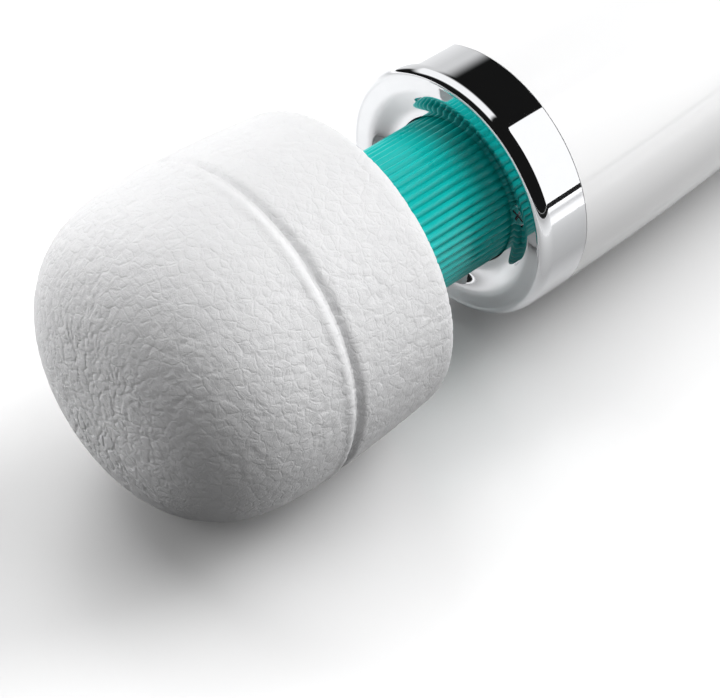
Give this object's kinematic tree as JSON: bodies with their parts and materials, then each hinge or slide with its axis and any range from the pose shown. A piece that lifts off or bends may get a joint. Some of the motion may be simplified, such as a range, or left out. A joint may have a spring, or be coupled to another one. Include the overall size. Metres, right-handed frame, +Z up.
{
  "type": "handheld wand massager",
  "caption": "Cordless wand massager: a padded domed head on a ribbed flexible neck, a chrome dished collar and a waisted gloss barrel with buttons and a charging inlet.",
  "frame": {"origin": "On the surface the massager lies on, at the centre of its bounding box seen from above.", "axes": "+Z up, +X towards the padded head, +Y to the left of somebody looking along +X. The massager lies on its side-to-side symmetric underside, tilted by about 1.5 degrees so that head and tail both touch."},
  "size_m": [0.3042, 0.0594, 0.0595],
  "materials": {
    "board_green": "satin",
    "bright_steel": "satin",
    "cell_blue": "satin",
    "chrome": "polished",
    "copper": "satin",
    "core_plastic": "matte",
    "cushion_white": "satin",
    "gloss_white": "gloss",
    "lead_black": "satin",
    "lead_red": "satin",
    "light_amber": "gloss",
    "magnet_grey": "matte",
    "panel_grey": "satin",
    "rubber_black": "matte",
    "sleeve_teal": "satin",
    "weight_brass": "satin"
  },
  "bodies": {
    "handle": {"battery_lead_black": "lead_black", "battery_lead_red": "lead_red", "button_panel": "panel_grey", "charging_jack": "rubber_black", "chassis_end_plate": "core_plastic", "chassis_tray": "core_plastic", "chrome_collar": "chrome", "collar_screw_1": "bright_steel", "collar_screw_2": "bright_steel", "collar_seal": "rubber_black", "control_board": "board_green", "front_battery_cell": "cell_blue", "front_battery_saddle": "core_plastic", "handle_barrel": "gloss_white", "jack_lead_black": "lead_black", "jack_lead_red": "lead_red", "lower_motor_magnet": "magnet_grey", "motor_can": "bright_steel", "motor_damper": "rubber_black", "motor_end_cap": "core_plastic", "motor_lead_black": "lead_black", "motor_lead_red": "lead_red", "motor_mount": "core_plastic", "motor_screw_1": "bright_steel", "motor_screw_2": "bright_steel", "rear_battery_cell": "cell_blue", "rear_battery_saddle": "core_plastic", "rear_neck_clamp": "core_plastic", "status_light": "light_amber", "tail_cap": "gloss_white", "tail_screw_1": "bright_steel", "tail_screw_2": "bright_steel", "tail_seal": "rubber_black", "upper_motor_magnet": "magnet_grey"},
    "neck": {"neck_sleeve": "sleeve_teal"},
    "head": {"head_cushion": "cushion_white", "head_core_front": "core_plastic", "rear_bearing_bracket": "core_plastic", "head_core_rear": "core_plastic", "front_bearing_outer_race": "bright_steel", "front_bearing_balls": "bright_steel", "rear_bearing_outer_race": "bright_steel", "rear_bearing_balls": "bright_steel", "front_neck_clamp": "core_plastic"},
    "head_rotor": {"head_shaft": "bright_steel", "off_balance_weight": "weight_brass", "shaft_retaining_clip": "bright_steel", "front_bearing_inner_race": "bright_steel", "rear_bearing_inner_race": "bright_steel", "front_spring_hub": "bright_steel"},
    "motor_rotor": {"motor_shaft": "bright_steel", "motor_armature": "copper", "rear_spring_hub": "bright_steel", "drive_spring": "bright_steel"},
    "power_button_body": {"power_button": "gloss_white"},
    "speed_down_button_body": {"speed_down_button": "gloss_white"},
    "speed_up_button_body": {"speed_up_button": "gloss_white"},
    "mode_button_body": {"mode_button": "gloss_white"}
  },
  "joints": [
    {"name": "neck_pitch", "type": "hinge", "parent": "handle", "child": "neck", "pos_m": [0.07876, 0, 0.0285], "axis": [0, 1, 0], "range_deg": [-12, 12], "stiffness_Nm_per_rad": 5, "deforming": ["neck_sleeve", "drive_spring"]},
    {"name": "neck_yaw", "type": "hinge", "parent": "neck", "child": "head", "pos_m": [0.09125, 0, 0.02883], "axis": [-0.0265, 0, 0.9996], "range_deg": [-12, 12], "stiffness_Nm_per_rad": 5},
    {"name": "weight_spin", "type": "hinge", "parent": "head", "child": "head_rotor", "pos_m": [0.12624, 0, 0.02975], "axis": [-0.9996, 0, -0.0265], "continuous": true},
    {"name": "motor_spin", "type": "hinge", "parent": "handle", "child": "motor_rotor", "pos_m": [0.03377, 0, 0.0273], "axis": [-0.9996, 0, -0.0265], "continuous": true},
    {"name": "power_button_press", "type": "slide", "parent": "handle", "child": "power_button_body", "axis": [0.0265, 0, -0.9996], "range_m": [0, 0.0008], "stiffness_N_per_m": 300},
    {"name": "speed_down_button_press", "type": "slide", "parent": "handle", "child": "speed_down_button_body", "axis": [0.0265, 0, -0.9996], "range_m": [0, 0.0008], "stiffness_N_per_m": 300},
    {"name": "speed_up_button_press", "type": "slide", "parent": "handle", "child": "speed_up_button_body", "axis": [0.0265, 0, -0.9996], "range_m": [0, 0.0008], "stiffness_N_per_m": 300},
    {"name": "mode_button_press", "type": "slide", "parent": "handle", "child": "mode_button_body", "axis": [0.0265, 0, -0.9996], "range_m": [0, 0.0008], "stiffness_N_per_m": 300}
  ],
  "couplings": [
    {"joint": "motor_spin", "follows": "weight_spin", "ratio": 1}
  ]
}
